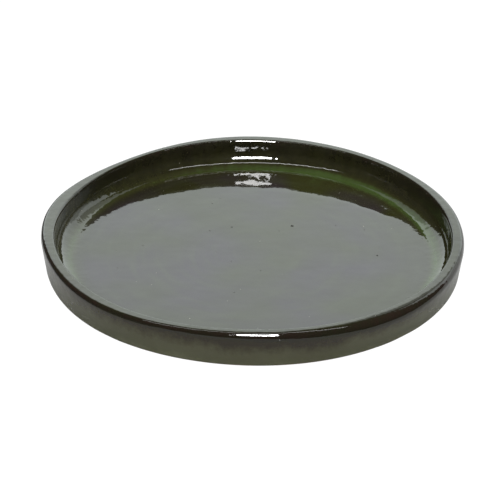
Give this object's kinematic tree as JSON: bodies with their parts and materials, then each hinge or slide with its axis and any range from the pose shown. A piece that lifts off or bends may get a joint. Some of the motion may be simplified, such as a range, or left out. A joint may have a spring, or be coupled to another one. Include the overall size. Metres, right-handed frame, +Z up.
{
  "type": "plant saucer",
  "caption": "Round flat glazed stoneware saucer with a low upright wall, an uneven rolled lip and an unglazed foot ring, to stand under a plant pot.",
  "frame": {"origin": "centre of the foot, on the surface that the saucer stands on", "axes": "+Z up, out of the well; +X to the right and +Y to the back of the view in which the picture shows it"},
  "size_m": [0.3014, 0.2997, 0.0266],
  "materials": {
    "fired_clay": "matt, unglazed, slightly gritty",
    "green_glaze": "gloss, dark bottle green, brown where it thins on the lip"
  },
  "bodies": {
    "root": {"clay_body": "fired_clay", "glaze_coat": "green_glaze"}
  },
  "joints": []
}
